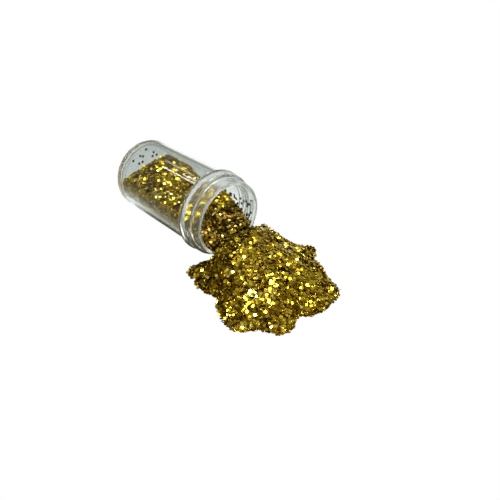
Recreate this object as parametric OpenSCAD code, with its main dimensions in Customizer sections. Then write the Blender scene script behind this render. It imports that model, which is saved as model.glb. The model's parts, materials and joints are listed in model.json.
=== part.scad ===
// Clear screw-neck sample vial, lying on its side and half full of gold flakes.
// The flakes have run out over the lip into a heap in front of the mouth.
// Millimetres. +Z is up, the mouth points along +X, and z = 0 is the surface it lies on.

/* [Vial] */
// Outer radius of the straight wall
body_r = 12; // [11:0.5:14]
// Length from the base to the lip
vial_l = 43.6; // [42:0.2:50]
// Thickness of the wall
wall_t = 1.4; // [1:0.1:1.6]
// Thickness of the base
base_t = 1.6; // [1.2:0.1:2.4]
// Radius of the rounded edge round the base
base_edge_r = 0.6; // [0.3:0.1:0.8]
// Radius of the shallow recess in the base
recess_r = 8.5; // [6:0.5:9]
// Depth of that recess
recess_t = 0.4; // [0.2:0.1:0.6]

/* [Neck] */
// Distance from the middle of the collar to the lip
neck_l = 7.3; // [7:0.1:8]
// How far the collar under the thread stands out from the wall
collar_out = 1; // [0.8:0.1:1.4]
// Thickness of the collar
collar_t = 1.6; // [1.2:0.1:1.8]
// How far the plain neck is set in from the wall
neck_in = 0.4; // [0.4:0.1:0.8]
// How far the thread stands out from the neck
thread_h = 1; // [0.6:0.1:1]
// Distance from one turn of the thread to the next
thread_pitch = 2.1; // [1.8:0.1:2.2]
// Number of half turns of the thread
thread_halves = 3; // [2:1:4]

/* [Flakes in the vial] */
// Height of the flakes above the vial's axis, along the -Y wall
near_level = 2.2; // [1:0.2:3]
// Height of the flakes above the vial's axis, along the +Y wall near the base
far_level = 4.4; // [3:0.2:5]
// Height of the flakes at the mouth, against the vial's axis
mouth_level = -5.8; // [-7:0.2:-4]
// Width of one loose flake across its corners
flake_w = 0.9; // [0.6:0.1:1.2]
// Thickness of one loose flake
flake_t = 0.1; // [0.05:0.05:0.2]

/* [Heap] */
// Typical reach of the heap from its middle
heap_reach = 17.9; // [17:0.1:20]
// Height of the heap at its middle
heap_h = 6.6; // [5:0.2:8]
// Distance from the lip to the middle of the heap
heap_ahead = 15.5; // [14:0.5:16]
// Height that the flakes just out of the mouth add to the heap
spout_h = 4.8; // [3:0.2:5.4]

/* [Hidden] */

clear_c = [0.80, 0.86, 0.86, 0.45];
gold_c = [0.78, 0.62, 0.16];
dark_gold_c = [0.42, 0.32, 0.10];
round_fn = 96;

// The vial
bore_r = body_r - wall_t;
collar_r = body_r + collar_out;
neck_r = body_r - neck_in;
bore_edge_r = 1.2;
collar_x = vial_l - neck_l;
lip_r = 0.35;
thread_start_x = collar_x + 2.2;
thread_root_w = 1.3;
thread_crest_w = 0.5;
thread_sink = 0.4;
thread_lead = asin(thread_pitch / (4 * neck_r));
gate_r = 1;

// The vial rests on its base edge and its collar, which tips its mouth up a little.
tilt = asin((collar_r - body_r) / (collar_x - base_edge_r));
base_axis_z = (body_r - base_edge_r) * cos(tilt) + base_edge_r - base_edge_r * sin(tilt);
lip_x = vial_l * cos(tilt);

// The flakes in the vial
fit_gap = 0.2;
fill_start_x = base_t + fit_gap;
fill_end_x = collar_x - collar_t;
tongue_end_x = vial_l - fit_gap;
slump_start_x = 12;
slump_end_x = 19.5;
slump_level = -0.3;
pour_start_x = 27;
crown_h = 0.5;
arc_steps = 24;
top_steps = 10;
section_step = 1.8;

// The heap
heap_back_x = lip_x + 0.3;
heap_x = lip_x + heap_ahead;
heap_y = -2.4;
heap_steps = 80;
heap_rings = 11;
heap_edge_t = 0.4;
heap_round = 1.6;
heap_ramp = 0.026;
heap_inner_reach = heap_reach + 1;
// Each lobe of an outline: its direction, its half width in degrees, and its added reach.
heap_lobes = [
    [134, 17, 5.8],
    [225, 8, 2.4],
    [251, 12, -3.3],
    [267, 9, -0.7],
    [294, 12, 2],
    [330, 11, 2.6],
    [349, 5, -1.7],
    [17, 20, 3],
    [32, 9, 2.2],
    [74, 7, -1.6],
    [84, 10, 3.1]
];
spout_l = 9.5;
spout_w = 11.5;
spout_y = 0.4;

// The spills: where each one's middle is, its typical reach, its height and its lobes
spill_front_x = lip_x + 0.1;
near_spill = [lip_x - 1.7, -11.8, 4, 1.7, [[100, 40, 0.2], [165, 45, -2.1], [250, 40, 0.3]]];
far_spill = [lip_x - 1.2, 13.8, 2.4, 1.3, [[110, 40, 0.4], [200, 30, -0.3]]];
spill_rings = 4;
spill_steps = 24;

// The loose flakes. Those on the base spread along Y and up from far_level. Those in the neck spread
// along X and round from the level of the flakes there, the further round the nearer to the lip.
// They cling in layers, so that one may lie over another.
cling_gap = 0.05;
base_flakes = 9;
base_flakes_y = [-4.4, 5];
base_flakes_up = [0.8, 4.6];
base_flakes_seed = 3892;
neck_flakes = 20;
neck_flakes_x = [collar_x - 6.8, vial_l - 0.9];
neck_flakes_turn = [2, 32];
neck_flakes_seed = 14720;
neck_layers = 3;

// The whole part stands with its box's middle over the origin.
heap_outline = [
    for (i = [0 : heap_steps - 1])
        let (a = i * 360 / heap_steps, r = cut_reach(a)) [heap_x + r * cos(a), heap_y + r * sin(a)]
];
part_x_min = base_edge_r * (cos(tilt) - 1) - (body_r - base_edge_r) * sin(tilt);
part_x_max = max([for (p = heap_outline) p[0]]);
part_y_min = min([for (p = heap_outline) p[1]]);
part_y_max = max([for (p = heap_outline) p[1]]);
centre_x = (part_x_min + part_x_max) / 2;
centre_y = (part_y_min + part_y_max) / 2;

function sum(v, i = 0) = i < len(v) ? v[i] + sum(v, i + 1) : 0;
function clamped(t) = min(max(t, 0), 1);
function eased(t) = clamped(t) * clamped(t) * (3 - 2 * clamped(t));
function turned(a) = (a + 540) % 360 - 180;
function bump(a, lobe) = lobe[2] * exp(-pow(turned(a - lobe[0]) / lobe[1], 2));
function lobed(a, reach, lobes) = reach + sum([for (l = lobes) bump(a, l)]);

// Reach of the heap's outline, whole and cut off by the plane in front of the lip
function whole_reach(a) = lobed(a, heap_reach, heap_lobes);
function cut_reach(a) = min(whole_reach(a), (heap_x - heap_back_x) / max(-cos(a), 0.01));

// Height that the flakes just out of the mouth add at (x, y)
function spout_z(x, y) =
    spout_h * exp(-pow((x - heap_back_x) / spout_l, 2) - pow((y - spout_y) / spout_w, 4));

// Height of the flakes against the -Y wall and the +Y wall, at x from the base
function pour(x) = eased((x - pour_start_x) / (vial_l - pour_start_x));
function slump(x) = eased((x - slump_start_x) / (slump_end_x - slump_start_x));
function near_z(x) = near_level + (mouth_level - near_level) * pow(pour(x), 2);
function far_body_z(x) = far_level + (slump_level - far_level) * slump(x);
function far_z(x) = far_body_z(x) + (mouth_level - far_body_z(x)) * pour(x);

// One cross-section of the flakes in the bore, as points: round the wall, then back over the top
function section(x, r) =
    let (near_a = -acos(-near_z(x) / r), far_a = acos(-far_z(x) / r))
    concat(
        [for (i = [0 : arc_steps]) let (a = near_a + (far_a - near_a) * i / arc_steps)
            [x, r * sin(a), -r * cos(a)]],
        [for (i = [1 : top_steps - 1]) let (u = i / top_steps)
            [
                x,
                r * (sin(far_a) + (sin(near_a) - sin(far_a)) * u),
                far_z(x) + (near_z(x) - far_z(x)) * u + crown_h * 4 * u * (1 - u)
            ]]
    );

// A closed solid through sections that have the same number of points
module loft(sections) {
    n = len(sections[0]);
    last = (len(sections) - 1) * n;
    polyhedron(
        points = [for (s = sections) for (p = s) p],
        faces = concat(
            [[for (i = [n - 1 : -1 : 0]) i]],
            [for (k = [0 : len(sections) - 2]) for (i = [0 : n - 1])
                [k * n + i, k * n + (i + 1) % n, (k + 1) * n + (i + 1) % n]],
            [for (k = [0 : len(sections) - 2]) for (i = [0 : n - 1])
                [k * n + i, (k + 1) * n + (i + 1) % n, (k + 1) * n + i]],
            [[for (i = [0 : n - 1]) last + i]]
        ),
        convexity = 6
    );
}

// A heap on the floor round the origin. The reach of its slopes is inner at the middle and
// whole(a) at the foot, and cut(a) is where it is cut off. ramp is how fast it falls along +X, and
// added(x, y) is height on top of that.
module mound(inner, whole, cut, added, height, ramp, rings, steps) {
    function share(a, r) = r / (inner + (whole(a) - inner) * pow(r / whole(a), 2));
    function slope_z(a, r) =
        height * (1 - pow(min(share(a, r), 1), heap_round)) * (1 - ramp * r * cos(a));
    function top_z(a, r) = heap_edge_t + slope_z(a, r) + added(r * cos(a), r * sin(a));
    function ring_point(k, i) =
        let (a = i * 360 / steps, r = cut(a) * k / rings) [r * cos(a), r * sin(a), top_z(a, r)];
    top = [for (k = [1 : rings]) for (i = [0 : steps - 1]) ring_point(k, i)];
    foot = [for (i = [0 : steps - 1]) let (p = ring_point(rings, i)) [p[0], p[1], 0]];
    foot_start = rings * steps + 1;
    foot_middle = foot_start + steps;
    polyhedron(
        points = concat([[0, 0, top_z(0, 0)]], top, foot, [[0, 0, 0]]),
        faces = concat(
            [for (i = [0 : steps - 1]) [0, 1 + (i + 1) % steps, 1 + i]],
            [for (k = [0 : rings - 1]) for (i = [0 : steps - 1])
                let (here = 1 + k * steps, next = here + steps)
                [here + i, here + (i + 1) % steps, next + (i + 1) % steps]],
            [for (k = [0 : rings - 1]) for (i = [0 : steps - 1])
                let (here = 1 + k * steps, next = here + steps)
                [here + i, next + (i + 1) % steps, next + i]],
            [for (i = [0 : steps - 1]) [foot_middle, foot_start + i, foot_start + (i + 1) % steps]]
        ),
        convexity = 6
    );
}

// Sets the part's box over the origin
module placed() {
    translate([-centre_x, -centre_y, 0])
        children();
}

// Lays the vial's own frame, with its axis on +X and its base at x = 0, down on the floor
module laid() {
    placed()
        translate([0, 0, base_axis_z])
            rotate([0, -tilt, 0])
                children();
}

// A rectangle from the axis to radius r whose outer corner at its foot is rounded
module rounded_foot(r, corner_r, from, to) {
    translate([0, from + corner_r])
        square([r, to - from - corner_r]);
    translate([0, from])
        square([r - corner_r, to - from]);
    translate([r - corner_r, from + corner_r])
        circle(r = corner_r, $fn = round_fn / 2);
}

// Half of the vial's section: radius along X, distance from the base along Y
module vial_half_section() {
    difference() {
        union() {
            rounded_foot(body_r, base_edge_r, 0, collar_x);
            translate([0, collar_x - collar_t / 2])
                square([collar_r - collar_t / 2, collar_t]);
            translate([collar_r - collar_t / 2, collar_x])
                circle(r = collar_t / 2, $fn = round_fn / 2);
            translate([0, collar_x])
                square([neck_r, neck_l - lip_r]);
            translate([0, collar_x])
                square([neck_r - lip_r, neck_l]);
            translate([neck_r - lip_r, vial_l - lip_r])
                circle(r = lip_r, $fn = round_fn / 2);
        }
        rounded_foot(bore_r, bore_edge_r, base_t, vial_l + 1);
        square([recess_r, recess_t]);
    }
}

// One ridge of the thread in section: radius along X, distance along the neck along Y
module ridge_section() {
    polygon([
        [neck_r - thread_sink, -thread_root_w / 2],
        [neck_r + thread_h, -thread_crest_w / 2],
        [neck_r + thread_h, thread_crest_w / 2],
        [neck_r - thread_sink, thread_root_w / 2]
    ]);
}

// Half a turn, tipped so that it climbs half a pitch. Each next one starts where the last one ends.
module thread_half(k) {
    translate([thread_start_x + k * thread_pitch / 2, 0, 0])
        rotate([180 * k, 0, 0])
            rotate([0, 0, -thread_lead])
                rotate([0, 90, 0])
                    rotate([0, 0, -90])
                        rotate_extrude(angle = 180, $fn = round_fn)
                            ridge_section();
}

module vial_body() {
    color(clear_c)
        laid()
            union() {
                rotate([0, 90, 0])
                    rotate_extrude($fn = round_fn)
                        vial_half_section();
                for (k = [0 : thread_halves - 1])
                    thread_half(k);
                rotate([0, 90, 0])
                    translate([0, 0, recess_t / 2])
                        cylinder(r = gate_r, h = recess_t, $fn = round_fn / 2);
            }
}

// The flakes between two distances from the base
module flakes_between(from, to) {
    count = ceil((to - from) / section_step);
    laid()
        loft([for (i = [0 : count]) section(from + (to - from) * i / count, bore_r - fit_gap)]);
}

module glitter_fill() {
    color(gold_c)
        flakes_between(fill_start_x, fill_end_x);
}

module glitter_tongue() {
    color(gold_c)
        flakes_between(fill_end_x + fit_gap, tongue_end_x);
}

module glitter_heap() {
    color(gold_c)
        placed()
            translate([heap_x, heap_y, 0])
                mound(
                    heap_inner_reach,
                    function (a) whole_reach(a),
                    function (a) cut_reach(a),
                    function (x, y) spout_z(heap_x + x, heap_y + y),
                    heap_h, heap_ramp, heap_rings, heap_steps
                );
}

// A low mound on the floor beside the neck, up to the heap
module spill(x, y, reach, height, lobes) {
    whole = function (a) lobed(a, reach, lobes);
    cut = function (a) min(whole(a), (spill_front_x - x) / max(cos(a), 0.01));
    flat = function (x, y) 0;
    translate([x, y, 0])
        mound(reach, whole, cut, flat, height, 0, spill_rings, spill_steps);
}

module spill_near() {
    color(gold_c)
        placed()
            spill(near_spill[0], near_spill[1], near_spill[2], near_spill[3], near_spill[4]);
}

module spill_far() {
    color(gold_c)
        placed()
            spill(far_spill[0], far_spill[1], far_spill[2], far_spill[3], far_spill[4]);
}

module flake() {
    rotate([0, 90, 0])
        cylinder(d = flake_w, h = flake_t, $fn = 6);
}

function between(range, t) = range[0] + (range[1] - range[0]) * t;

// Flakes that cling to the inside of the base, above the ones that lie in the vial
module loose_flakes_base() {
    n = base_flakes;
    off = rands(0, 1, 3 * n, base_flakes_seed);
    color(dark_gold_c)
        laid()
            for (i = [0 : n - 1])
                let (across = between(base_flakes_y, off[i]), up = between(base_flakes_up, off[n + i]))
                translate([base_t + cling_gap, across, far_level + up])
                    rotate([60 * off[2 * n + i], 0, 0])
                        flake();
}

// Flakes that cling to the bore of the neck on the +Y side, above the ones that run out
module loose_flakes_neck() {
    n = neck_flakes;
    off = rands(0, 1, 3 * n, neck_flakes_seed);
    color(dark_gold_c)
        laid()
            for (i = [0 : n - 1])
                let (
                    share = sqrt(off[i]),
                    along = between(neck_flakes_x, share),
                    turn = between(neck_flakes_turn, share * off[n + i]),
                    gap = cling_gap + (i % neck_layers) * (flake_t + cling_gap)
                )
                rotate([asin(far_z(along) / bore_r) + turn, 0, 0])
                    translate([along, bore_r - gap, 0])
                        rotate([60 * off[2 * n + i], 0, -90])
                            flake();
}

vial_body();
glitter_fill();
glitter_tongue();
glitter_heap();
spill_near();
spill_far();
loose_flakes_base();
loose_flakes_neck();
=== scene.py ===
import json
import math

import bmesh
import bpy
import numpy as np
from mathutils import Matrix, Vector

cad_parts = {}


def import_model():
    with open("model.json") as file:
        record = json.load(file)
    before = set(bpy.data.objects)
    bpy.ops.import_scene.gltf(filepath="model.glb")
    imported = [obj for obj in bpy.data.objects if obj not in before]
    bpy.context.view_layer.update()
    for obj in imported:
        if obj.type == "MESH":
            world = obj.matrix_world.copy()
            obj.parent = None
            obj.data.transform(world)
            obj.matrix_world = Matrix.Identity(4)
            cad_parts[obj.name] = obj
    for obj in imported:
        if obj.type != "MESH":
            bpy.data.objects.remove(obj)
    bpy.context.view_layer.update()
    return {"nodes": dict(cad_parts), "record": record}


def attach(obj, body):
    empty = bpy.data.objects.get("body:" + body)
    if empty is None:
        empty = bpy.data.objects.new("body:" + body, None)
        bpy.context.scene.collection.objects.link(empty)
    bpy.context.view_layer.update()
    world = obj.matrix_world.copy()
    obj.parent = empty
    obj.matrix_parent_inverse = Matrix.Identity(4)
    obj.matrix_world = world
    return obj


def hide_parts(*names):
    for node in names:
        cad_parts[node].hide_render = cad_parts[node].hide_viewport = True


# A clear screw-neck sample vial that lies open on its side, with gold flakes run out of its mouth.
# Metres, in the frame of the CAD model. +Z is up and the mouth points along +X.
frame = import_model()
record = frame["record"]
nodes = frame["nodes"]

MM = 0.001

# The vial's own frame: x along its axis from the lip, y to the side, z up.
mounts = {mount["name"]: mount for mount in record["mounts"]}
LIP = Vector(mounts["neck_thread"]["pos_m"])
AXIS = Vector(mounts["neck_thread"]["axis"]).normalized()
SIDE = Vector((0, 1, 0))
UP = AXIS.cross(SIDE)
VIAL_TURN = Matrix((AXIS, SIDE, UP)).transposed()

# Sizes of the vial that the flakes and the plastic's haze go by
BODY_R = 12 * MM
BORE_R = 10.6 * MM
COLLAR_R = 13 * MM
VIAL_L = 43.6 * MM
NECK_L = 7.3 * MM
# The flakes keep this far off the wall. A flake that is moved off it goes a little further.
WALL_GAP = 0.04 * MM
WALL_SLACK = 1.02

# One flake: a hexagon cut from thin film. Its width is across the corners, and varies a little.
FLAKE_W = 0.92 * MM
FLAKE_T = 0.05 * MM
WIDTH_SPREAD = (0.92, 1.04)
# Flakes lie in small patches that share a lean, and each one leans a little more by itself.
PATCH_W = 2.0 * MM
PATCH_LEAN = 13
FLAKE_LEAN = 8
# A few stand up out of their patch.
STANDING_SHARE = 0.12
STANDING_LEAN = 40

# Flakes on each mm2 of a surface
FILL_DENSITY = 3.6
TONGUE_DENSITY = 4.0
HEAP_DENSITY = 4.0
FOOT_DENSITY = 6.0

# How deep below the CAD surface and how high above it the flakes lie
DEEPEST = -0.35 * MM
RISE = 0.15 * MM
TONGUE_RISE = 0.2 * MM
# The flat flakes round the foot of a heap: how far in and out, and how high off the floor in mm
FRINGE_REACH = (-0.6 * MM, 0.4 * MM)
FRINGE_HEIGHT_MM = (0.05, 0.5)

# What tells the faces of a CAD solid apart: how far a normal points up, or along the vial, how
# high a heap's foot is, and how far from the lip the flakes near the base and near the lip lie
UNDERSIDE_UP = -0.3
UPRIGHT_UP = 0.1
CUT_ALONG = 0.9
FOOT_H = 0.5 * MM
NEAR_BASE = -0.9 * VIAL_L
NEAR_LIP = -0.1 * VIAL_L

# Beds: name, CAD node, and how far the surface is drawn in. What is lower than that is flattened.
BEDS = [
    ("bed_fill", "glitter_fill", 0.5 * MM),
    ("bed_tongue", "glitter_tongue", 0.5 * MM),
    ("bed_heap", "glitter_heap", 0.4 * MM),
    ("bed_spill_near", "spill_near", 0.3 * MM),
    ("bed_spill_far", "spill_far", 0.3 * MM),
]
FLATTENED = 0.5
MERGE_DISTANCE = 0.001 * MM

# The plastic at the base, on the body and on the neck: how much light it lets through, and its haze
THROUGH = (0.98, 1.0, 0.94)
HAZE = (0.22, 0.0, 0.14)
PLASTIC_COLOUR = (0.71, 0.735, 0.735, 1)
REFLECTION_TINT = (0.4, 0.4, 0.4, 1)
PASSING_LIGHT = (0.95, 0.96, 0.95, 1)
# Noise on it, by its scale: uneven polish, and ripples in the surface
POLISH_SCALE = 140
POLISH_SPREAD = 0.025
RIPPLE_SCALE = 90
RIPPLE = 0.008
RIPPLE_H = 0.2 * MM

# The film's gloss, as the roughness of the dullest and of the glossiest flake, and its fine grain
GLOSS = (0.2, 0.06)
SHADED_GLOSS = (0.42, 0.16)
GRAIN_SCALE = 2600
GRAIN = 0.15
GRAIN_H = 0.05 * MM

# Colours of the flakes, as (share, colour), from the dullest flake to the brightest
GOLD_TONES = [
    (0.0, (0.28, 0.155, 0.002)),
    (0.4, (0.52, 0.36, 0.01)),
    (0.8, (0.68, 0.55, 0.04)),
    (1.0, (0.88, 0.80, 0.20)),
]
# Painted light: a brighter copy of the gold tones, for the flakes inside the vial
TONES_IN_VIAL = [
    (0.0, (0.26, 0.13, 0.001)),
    (0.4, (0.62, 0.41, 0.01)),
    (0.75, (0.88, 0.69, 0.04)),
    (1.0, (1.0, 0.90, 0.28)),
]
# Painted shade: a darker copy of the gold tones, for the flakes in the vial's mouth
SHADED_TONES = [
    (0.0, (0.08, 0.03, 0.001)),
    (0.5, (0.20, 0.13, 0.008)),
    (1.0, (0.36, 0.28, 0.06)),
]
# Painted shade: near-black tones for the flakes that cling to the plastic
LOOSE_FLAKE_SHADE_TONES = [(0.0, (0.004, 0.003, 0.002)), (1.0, (0.03, 0.022, 0.008))]
# Painted shade: dark tones for the flakes under the top ones
BED_TONES = [(0.2, (0.05, 0.018, 0.001)), (0.6, (0.13, 0.06, 0.003)), (0.9, (0.28, 0.16, 0.01))]

# Painted light on the floor: palest round a spot beyond the vial, olive further out and painted
# shade beyond that: (distance from there in metres, colour).
PALE_SPOT = (-0.08, 0.08, 0)
FLOOR_PAINTED_LIGHT = [
    (0.095, (0.86, 0.93, 0.95)),
    (0.12, (0.45, 0.42, 0.24)),
    (0.22, (0.15, 0.15, 0.13)),
]
FLOOR_HALF = 1.5
FLOOR_Z = -0.02 * MM

# The room, from the side away from the wall (0) to the middle of the wall (1)
WALL_DIRECTION = (-0.2, 0.95, 0.22)
ROOM_TONES = [
    (0.0, (0.065, 0.045, 0.02)),
    (0.6, (0.15, 0.115, 0.06)),
    (0.9, (0.23, 0.20, 0.13)),
    (0.95, (0.46, 0.45, 0.41)),
    (1.0, (0.61, 0.60, 0.55)),
]
# The glow overhead and the horizon behind the plastic, by the upward part of the direction
GLOW_TONES = [
    (0.65, (0, 0, 0)),
    (0.8, (0.16, 0.16, 0.16)),
    (0.9, (0.42, 0.42, 0.42)),
    (1.0, (0.5, 0.5, 0.5)),
]
HORIZON_TONES = [
    (0.15, (0.51, 0.58, 0.60)),
    (0.5, (0.34, 0.32, 0.20)),
    (1.0, (0.40, 0.36, 0.20)),
]
WHITE = (1, 1, 1, 1)

# Lamps: name, direction from the lip, width and height in metres, watts
LAMP_DISTANCE = 0.5
LAMPS = [
    ("key", (0.15, 0.1, 0.98), (0.13, 0.13), 1.8),
    ("back", (-0.45, 0.50, 0.64), (0.12, 0.12), 0.6),
    ("window_low", (-0.75, 0.02, 0.65), (0.016, 0.07), 0.065),
    ("window_middle", (-0.73, 0.13, 0.65), (0.03, 0.04), 0.035),
    ("window_high", (-0.76, 0.27, 0.59), (0.012, 0.08), 0.02),
]

# The camera's place from the lip in radii of the body, its angles in degrees, and its lens in mm
CAMERA_PLACE = (7.283, -6.219, 5.74)
CAMERA_AZIMUTH = 136.5
CAMERA_ELEVATION = 34.8
VIEW_ROLL = -7
SENSOR_W = 36
LENS = 32.57

# Light turns many times inside the clear wall before it comes out.
BOUNCES = 24
ALL_BOUNCES = 32

rng = np.random.default_rng(7)


# Small helpers for shaders

def new_material(name):
    """A material with an empty node tree and its output node."""
    material = bpy.data.materials.new(name)
    material.use_nodes = True
    tree = material.node_tree
    tree.nodes.clear()
    return material, tree, tree.nodes.new("ShaderNodeOutputMaterial")


def add(tree, kind, **values):
    """A node with some of its input sockets set by name."""
    node = tree.nodes.new(kind)
    for name, value in values.items():
        node.inputs[name.replace("_", " ")].default_value = value
    return node


def ramp(tree, source, stops):
    """A colour ramp over a socket. stops are (position, colour)."""
    node = tree.nodes.new("ShaderNodeValToRGB")
    band = node.color_ramp.elements
    while len(band) < len(stops):
        band.new(0.5)
    for element, (position, colour) in zip(band, stops):
        element.position = position
        element.color = (*colour, 1)
    tree.links.new(source, node.inputs["Fac"])
    return node.outputs["Color"]


def spread(tree, source, low, high, start=0, end=1):
    """A value socket that runs from low to high as source runs from start to end."""
    node = add(tree, "ShaderNodeMapRange", From_Min=start, From_Max=end, To_Min=low, To_Max=high)
    tree.links.new(source, node.inputs["Value"])
    return node.outputs["Result"]


def noise(tree, scale, detail=3):
    """A noise in object space."""
    place = tree.nodes.new("ShaderNodeTexCoord")
    node = add(tree, "ShaderNodeTexNoise", Scale=scale, Detail=detail)
    tree.links.new(place.outputs["Object"], node.inputs["Vector"])
    return node.outputs["Fac"]


def bump(tree, source, strength, distance):
    """A normal that is bumped by a value socket."""
    node = add(tree, "ShaderNodeBump", Strength=strength, Distance=distance)
    tree.links.new(source, node.inputs["Height"])
    return node.outputs["Normal"]


def by_ray(tree, kind, usual, special):
    """One shader socket for all rays but those of a kind, and another for those."""
    path = tree.nodes.new("ShaderNodeLightPath")
    mix = tree.nodes.new("ShaderNodeMixShader")
    tree.links.new(path.outputs[kind], mix.inputs[0])
    tree.links.new(usual, mix.inputs[1])
    tree.links.new(special, mix.inputs[2])
    return mix.outputs[0]


# Materials

def along_vial(tree, base, body, neck):
    """A value socket with one value at the vial's base, one on its body and one on its neck."""
    place = tree.nodes.new("ShaderNodeTexCoord")
    split = tree.nodes.new("ShaderNodeSeparateXYZ")
    tree.links.new(place.outputs["Object"], split.inputs[0])
    share = spread(tree, split.outputs["X"], 0.0, 1.0, LIP.x - VIAL_L, LIP.x)
    collar = 1 - NECK_L / VIAL_L
    fade = 0.03
    stops = [(fade, base), (2 * fade, body), (collar - fade, body), (collar, neck)]
    return ramp(tree, share, [(position, (value,) * 3) for position, value in stops])


def clear_plastic():
    """Moulded polystyrene: clear and polished, but a little hazy at the base and over the neck.
    Its reflections are held back by a dark tint, so that they veil the flakes less. Light from
    the lamps passes straight through it, so that the flakes behind it are lit."""
    material, tree, out = new_material("clear_plastic")
    shader = add(
        tree, "ShaderNodeBsdfPrincipled",
        Base_Color=PLASTIC_COLOUR, IOR=1.5, Specular_Tint=REFLECTION_TINT,
    )
    tree.links.new(along_vial(tree, *THROUGH), shader.inputs["Transmission Weight"])
    rough = tree.nodes.new("ShaderNodeMath")
    rough.operation = "ADD"
    tree.links.new(spread(tree, noise(tree, POLISH_SCALE), 0.0, POLISH_SPREAD), rough.inputs[0])
    tree.links.new(along_vial(tree, *HAZE), rough.inputs[1])
    tree.links.new(rough.outputs[0], shader.inputs["Roughness"])
    ripples = bump(tree, noise(tree, RIPPLE_SCALE, 1), RIPPLE, RIPPLE_H)
    tree.links.new(ripples, shader.inputs["Normal"])
    passing = add(tree, "ShaderNodeBsdfTransparent", Color=PASSING_LIGHT)
    seen = by_ray(tree, "Is Shadow Ray", shader.outputs[0], passing.outputs[0])
    tree.links.new(seen, out.inputs["Surface"])
    return material


def gold_film(name, tones, gloss):
    """Lacquered metallised film. Each flake has its own tone and its own gloss."""
    material, tree, out = new_material(name)
    shader = add(
        tree, "ShaderNodeBsdfPrincipled", Metallic=1.0, Coat_Weight=0.22, Coat_Roughness=0.2
    )
    island = tree.nodes.new("ShaderNodeNewGeometry").outputs["Random Per Island"]
    tree.links.new(ramp(tree, island, tones), shader.inputs["Base Color"])
    tree.links.new(spread(tree, island, *gloss), shader.inputs["Roughness"])
    grain = bump(tree, noise(tree, GRAIN_SCALE, 1), GRAIN, GRAIN_H)
    tree.links.new(grain, shader.inputs["Normal"])
    tree.links.new(shader.outputs[0], out.inputs["Surface"])
    return material


def loose_flake_shade():
    """A dull flake that clings to the plastic. It stands in its own shade, which is painted into
    its near-black colour.
    """
    material, tree, out = new_material("loose_flake_shade")
    shader = add(tree, "ShaderNodeBsdfPrincipled", Roughness=0.6, Specular_IOR_Level=0.2)
    island = tree.nodes.new("ShaderNodeNewGeometry").outputs["Random Per Island"]
    tree.links.new(ramp(tree, island, LOOSE_FLAKE_SHADE_TONES), shader.inputs["Base Color"])
    tree.links.new(shader.outputs[0], out.inputs["Surface"])
    return material


def packed_flakes():
    """What shows between the top flakes: more flakes, deep in shade, which is painted into their
    dark tones.
    """
    material, tree, out = new_material("packed_flakes")
    shader = add(
        tree, "ShaderNodeBsdfPrincipled", Metallic=0.9, Roughness=0.45, Specular_IOR_Level=0.1
    )
    place = tree.nodes.new("ShaderNodeTexCoord")
    cells = add(tree, "ShaderNodeTexVoronoi", Scale=1 / FLAKE_W)
    tree.links.new(place.outputs["Object"], cells.inputs["Vector"])
    tone = ramp(tree, cells.outputs["Color"], BED_TONES)
    tree.links.new(tone, shader.inputs["Base Color"])
    tree.links.new(bump(tree, cells.outputs["Distance"], 0.8, 0.3 * MM), shader.inputs["Normal"])
    tree.links.new(shader.outputs[0], out.inputs["Surface"])
    return material


PLASTIC = clear_plastic()
FILM = gold_film("gold_film", GOLD_TONES, GLOSS)
# A brighter copy of the film, for the flakes inside the vial: painted light.
FILM_IN_VIAL = gold_film("film_in_vial", TONES_IN_VIAL, GLOSS)
# A darker copy of the film, for the flakes in the mouth: painted shade.
SHADED_FILM = gold_film("shaded_film", SHADED_TONES, SHADED_GLOSS)
LOOSE_FLAKE_SHADE = loose_flake_shade()
PACKED = packed_flakes()


# Flakes

def to_vial(points):
    """Points in the vial's own frame."""
    return (points - np.array(LIP)) @ np.array(VIAL_TURN)


def triangles(node):
    """The corners and the outward unit normals of a CAD node's triangles, and their areas."""
    mesh = nodes[node].data
    mesh.calc_loop_triangles()
    corners = np.empty(len(mesh.vertices) * 3, np.float64)
    mesh.vertices.foreach_get("co", corners)
    index = np.empty(len(mesh.loop_triangles) * 3, np.int32)
    mesh.loop_triangles.foreach_get("vertices", index)
    t = corners.reshape(-1, 3)[index.reshape(-1, 3)]
    cross = np.cross(t[:, 1] - t[:, 0], t[:, 2] - t[:, 0])
    length = np.linalg.norm(cross, axis=1)
    return t, cross / np.maximum(length, 1e-15)[:, None], length / 2


def scattered(node, per_mm2, keep):
    """Random points on the triangles of a CAD node that keep() picks, with their normals."""
    t, normal, area = triangles(node)
    area = area * keep(t.mean(1), normal)
    count = int(area.sum() / MM**2 * per_mm2)
    pick = rng.choice(len(t), count, p=area / area.sum())
    a, b = rng.random((2, count, 1))
    flip = a + b > 1
    a, b = np.where(flip, 1 - a, a), np.where(flip, 1 - b, b)
    points = t[pick, 0] + a * (t[pick, 1] - t[pick, 0]) + b * (t[pick, 2] - t[pick, 0])
    return points, normal[pick]


def leaning(points, normals):
    """Unit normals, tipped at random: a share for the patch that a flake lies in, and its own."""
    cell = np.floor(points / PATCH_W + rng.random(3)).astype(int)
    patch = np.unique(cell, axis=0, return_inverse=True)[1].reshape(-1)
    lean = rng.normal(0, math.tan(math.radians(PATCH_LEAN)), (patch.max() + 1, 3))[patch]
    own = np.where(rng.random(len(points)) < STANDING_SHARE, STANDING_LEAN, FLAKE_LEAN)
    lean = lean + rng.normal(0, 1, normals.shape) * np.tan(np.radians(own))[:, None]
    tipped = normals + lean
    return tipped / np.linalg.norm(tipped, axis=1)[:, None]


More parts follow.
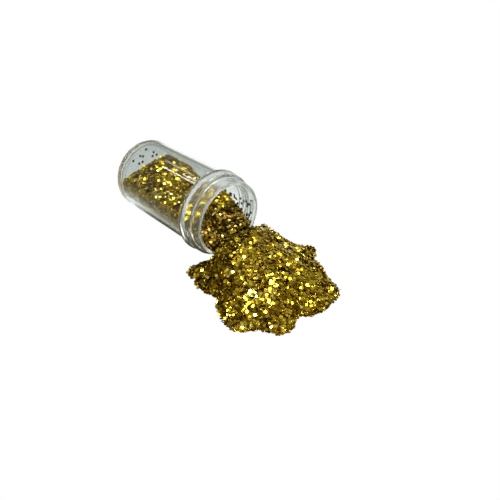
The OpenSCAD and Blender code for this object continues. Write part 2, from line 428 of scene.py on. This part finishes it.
def hexagons(centres, normals):
    """The twelve corners of each flake, as an array (flake, corner, xyz)."""
    count = len(centres)
    helper = np.where(np.abs(normals[:, 2:]) < 0.9, [[0.0, 0.0, 1.0]], [[1.0, 0.0, 0.0]])
    u = np.cross(normals, helper)
    u /= np.linalg.norm(u, axis=1)[:, None]
    v = np.cross(normals, u)
    width = FLAKE_W * rng.uniform(*WIDTH_SPREAD, count)
    angles = rng.uniform(0, math.tau, count)[:, None] + np.arange(6) * math.tau / 6
    rim = (
        np.cos(angles)[..., None] * u[:, None] + np.sin(angles)[..., None] * v[:, None]
    ) * (width / 2)[:, None, None]
    lift = (normals * FLAKE_T / 2)[:, None]
    return np.concatenate([centres[:, None] + rim - lift, centres[:, None] + rim + lift], axis=1)


def inside_bore(corners):
    """Moves each flake that reaches into the vial's wall in towards the axis."""
    local = to_vial(corners)
    middle = local.mean(1)
    reach = np.hypot(local[..., 1], local[..., 2]).max(1)
    radius = np.hypot(middle[:, 1], middle[:, 2])
    excess = np.clip(reach - (BORE_R - WALL_GAP), 0, None)
    shift = np.zeros_like(middle)
    shift[:, 1:] = -middle[:, 1:] / radius[:, None] * excess[:, None] * WALL_SLACK
    return corners + (shift @ np.array(VIAL_TURN).T)[:, None]


def clear_of_vial(corners):
    """Drops each flake that touches the vial's wall from outside or from in front."""
    local = to_vial(corners)
    radius = np.hypot(local[..., 1], local[..., 2])
    in_length = (local[..., 0] < WALL_GAP) & (local[..., 0] > -VIAL_L)
    hit = in_length & (radius > BORE_R - WALL_GAP) & (radius < COLLAR_R)
    return corners[~hit.any(1)]


def above_floor(corners):
    """Lifts each flake that reaches below the floor."""
    low = corners[..., 2].min(1)
    corners[..., 2] += np.clip(-low, 0, None)[:, None]
    return corners


def flake_mesh(name, corners, material):
    """A piece made of closed flakes: two hexagons and six edges each."""
    count = len(corners)
    start = (np.arange(count) * 12)[:, None]
    bottom = start + np.arange(6)[::-1]
    top = start + np.arange(6, 12)
    here, there = np.arange(6), (np.arange(6) + 1) % 6
    edges = np.stack([here, there, there + 6, here + 6], axis=1)
    edges = (start[:, :, None] + edges[None]).reshape(-1, 4)
    mesh = bpy.data.meshes.new(name)
    mesh.from_pydata(
        corners.reshape(-1, 3), [], bottom.tolist() + top.tolist() + edges.tolist()
    )
    mesh.materials.append(material)
    piece = bpy.data.objects.new(name, mesh)
    bpy.context.collection.objects.link(piece)
    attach(piece, "root")
    return piece


def top_side(middle, normal):
    """Every face of a heap but its underside."""
    return normal[:, 2] > UNDERSIDE_UP


def foot(middle, normal):
    """The low upright faces round the foot of a heap."""
    return (np.abs(normal[:, 2]) < UPRIGHT_UP) & (middle[:, 2] < FOOT_H)


def vial_faces(middle, normal):
    """The faces of the flakes in the vial, but for the cuts across it at the neck."""
    along = to_vial(middle)[:, 0]
    cut = np.abs(normal @ np.array(AXIS)) > CUT_ALONG
    return ~cut | (along < NEAR_BASE)


def lip_faces(middle, normal):
    """The faces of the flakes in the neck, with the end of them at the lip."""
    along = to_vial(middle)[:, 0]
    cut = np.abs(normal @ np.array(AXIS)) > CUT_ALONG
    return ~cut | (along > NEAR_LIP)


def layered(points, normals, low, high):
    """Points moved along their normals by a random amount, in metres."""
    return points + normals * rng.uniform(low, high, len(points))[:, None]


def flakes_in_vial(name, node, per_mm2, keep, material, rise):
    """The top flakes of a CAD solid that lies inside the vial."""
    points, normals = scattered(node, per_mm2, keep)
    points = layered(points, normals, DEEPEST, rise)
    corners = inside_bore(hexagons(points, leaning(points, normals)))
    piece = flake_mesh(name, corners, material)
    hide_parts(node)


def flakes_on_heap(name, node):
    """The top flakes of a heap, with a fringe of flatter ones round its foot."""
    points, normals = scattered(node, HEAP_DENSITY, top_side)
    points = layered(points, normals, DEEPEST, RISE)
    fringe, outward = scattered(node, FOOT_DENSITY, foot)
    fringe = layered(fringe, outward, *FRINGE_REACH)
    fringe[:, 2] = rng.uniform(*FRINGE_HEIGHT_MM, len(fringe)) * MM
    flat = np.tile([[0.0, 0.0, 1.0]], (len(fringe), 1))
    points, normals = np.concatenate([points, fringe]), np.concatenate([normals, flat])
    corners = above_floor(hexagons(points, leaning(points, normals)))
    piece = flake_mesh(name, clear_of_vial(corners), FILM)
    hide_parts(node)


def bed(name, node, sink):
    """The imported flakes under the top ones: the CAD solid, drawn in by a little."""
    mesh = nodes[node].data.copy()
    mesh.name = name
    made = bmesh.new()
    made.from_mesh(mesh)
    bmesh.ops.remove_doubles(made, verts=made.verts, dist=MERGE_DISTANCE)
    made.normal_update()
    moves = [(vertex, vertex.normal.copy()) for vertex in made.verts]
    for vertex, normal in moves:
        if vertex.co.z < sink:
            vertex.co.z *= FLATTENED
        else:
            vertex.co -= normal * sink
    made.to_mesh(mesh)
    made.free()
    mesh.materials.clear()
    mesh.materials.append(PACKED)
    piece = bpy.data.objects.new(name, mesh)
    bpy.context.collection.objects.link(piece)
    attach(piece, "root")
    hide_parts(node)


for row in BEDS:
    bed(*row)
flakes_in_vial("flakes_fill", "glitter_fill", FILL_DENSITY, vial_faces, FILM_IN_VIAL, RISE)
flakes_in_vial(
    "flakes_tongue", "glitter_tongue", TONGUE_DENSITY, lip_faces, SHADED_FILM, TONGUE_RISE
)
flakes_on_heap("flakes_heap", "glitter_heap")
flakes_on_heap("flakes_spill_near", "spill_near")
flakes_on_heap("flakes_spill_far", "spill_far")

# The flakes that cling to the plastic get the near-black painted shade.
for name in ("loose_flakes_base", "loose_flakes_neck"):
    for place in nodes[name].material_slots:
        place.material = LOOSE_FLAKE_SHADE
for place in nodes["vial_body"].material_slots:
    place.material = PLASTIC


# Floor, light and camera

def floor():
    """A pale floor. The camera sees it plain white. Everything else sees it lit, with painted light
    round the spot beyond the vial and painted shade further away, so that little of it veils the
    vial's near side."""
    material, tree, out = new_material("floor")
    lit = add(tree, "ShaderNodeBsdfPrincipled", Roughness=0.9, Specular_IOR_Level=0.1)
    place = tree.nodes.new("ShaderNodeTexCoord")
    distance = tree.nodes.new("ShaderNodeVectorMath")
    distance.operation = "DISTANCE"
    distance.inputs[1].default_value = PALE_SPOT
    tree.links.new(place.outputs["Object"], distance.inputs[0])
    # The floor's painted light and shade, by the distance from the pale spot
    tone = ramp(tree, distance.outputs["Value"], FLOOR_PAINTED_LIGHT)
    tree.links.new(tone, lit.inputs["Base Color"])
    plain = add(tree, "ShaderNodeEmission", Color=WHITE, Strength=1.0)
    seen = by_ray(tree, "Is Camera Ray", lit.outputs[0], plain.outputs[0])
    tree.links.new(seen, out.inputs["Surface"])
    signs = [(-1, -1), (1, -1), (1, 1), (-1, 1)]
    corners = [(x * FLOOR_HALF, y * FLOOR_HALF, FLOOR_Z) for x, y in signs]
    mesh = bpy.data.meshes.new("floor")
    mesh.from_pydata(corners, [], [(0, 1, 2, 3)])
    mesh.materials.append(material)
    piece = bpy.data.objects.new("floor", mesh)
    bpy.context.collection.objects.link(piece)


def area_light(name, direction, size, power):
    """A rectangular lamp that faces the vial from a direction."""
    lamp = bpy.data.lights.new(name, "AREA")
    lamp.shape = "RECTANGLE"
    lamp.size, lamp.size_y = size
    lamp.energy = power
    piece = bpy.data.objects.new(name, lamp)
    towards = Vector(direction).normalized()
    piece.location = LIP + towards * LAMP_DISTANCE
    piece.rotation_euler = towards.to_track_quat("Z", "Y").to_euler()
    bpy.context.collection.objects.link(piece)


def background(tree, colour):
    """A background shader that takes its colour from a socket."""
    node = tree.nodes.new("ShaderNodeBackground")
    tree.links.new(colour, node.inputs["Color"])
    return node.outputs[0]


def room_colour(tree, direction, upward):
    """A dim, warm room with a pale wall beyond the vial and a soft glow overhead."""
    along = tree.nodes.new("ShaderNodeVectorMath")
    along.operation = "DOT_PRODUCT"
    along.inputs[1].default_value = Vector(WALL_DIRECTION).normalized()
    tree.links.new(direction, along.inputs[0])
    wall = ramp(tree, spread(tree, along.outputs["Value"], 0, 1, -1, 1), ROOM_TONES)
    both = tree.nodes.new("ShaderNodeVectorMath")
    both.operation = "ADD"
    tree.links.new(wall, both.inputs[0])
    tree.links.new(ramp(tree, upward, GLOW_TONES), both.inputs[1])
    return both.outputs[0]


def world():
    """The room that the flakes and the plastic reflect. What is seen through the plastic is a
    pale horizon instead, olive higher up. The camera itself sees a white backdrop."""
    sky = bpy.data.worlds.new("studio")
    sky.use_nodes = True
    tree = sky.node_tree
    tree.nodes.clear()
    out = tree.nodes.new("ShaderNodeOutputWorld")
    direction = tree.nodes.new("ShaderNodeTexCoord").outputs["Generated"]
    split = tree.nodes.new("ShaderNodeSeparateXYZ")
    tree.links.new(direction, split.inputs[0])
    upward = split.outputs["Z"]
    room = background(tree, room_colour(tree, direction, upward))
    horizon = background(tree, ramp(tree, upward, HORIZON_TONES))
    backdrop = add(tree, "ShaderNodeBackground", Color=WHITE, Strength=1.0).outputs[0]
    seen = by_ray(tree, "Is Transmission Ray", room, horizon)
    tree.links.new(by_ray(tree, "Is Camera Ray", seen, backdrop), out.inputs["Surface"])
    bpy.context.scene.world = sky


def camera():
    """The camera stands in front of the mouth, to its right and above it. Its place and angles
    are given in the vial's own frame, and the whole view is turned about the vial's axis."""
    azimuth, elevation = math.radians(CAMERA_AZIMUTH), math.radians(CAMERA_ELEVATION)
    forward = Vector((
        math.cos(elevation) * math.cos(azimuth),
        math.cos(elevation) * math.sin(azimuth),
        -math.sin(elevation),
    ))
    right = forward.cross(Vector((0, 0, 1))).normalized()
    up = right.cross(forward)
    turn = VIAL_TURN @ Matrix.Rotation(math.radians(VIEW_ROLL), 3, "X")
    view = turn @ Matrix((right, up, -forward)).transposed()
    place = LIP + turn @ (Vector(CAMERA_PLACE) * BODY_R)
    data = bpy.data.cameras.new("camera")
    data.sensor_width = SENSOR_W
    data.lens = LENS
    data.clip_start = 5 * MM
    piece = bpy.data.objects.new("camera", data)
    piece.matrix_world = Matrix.Translation(place) @ view.to_4x4()
    bpy.context.collection.objects.link(piece)
    bpy.context.scene.camera = piece


floor()
world()
camera()
for lamp in LAMPS:
    area_light(*lamp)
bpy.context.scene.view_settings.view_transform = "Standard"
bpy.context.scene.cycles.glossy_bounces = BOUNCES
bpy.context.scene.cycles.transmission_bounces = BOUNCES
bpy.context.scene.cycles.max_bounces = ALL_BOUNCES
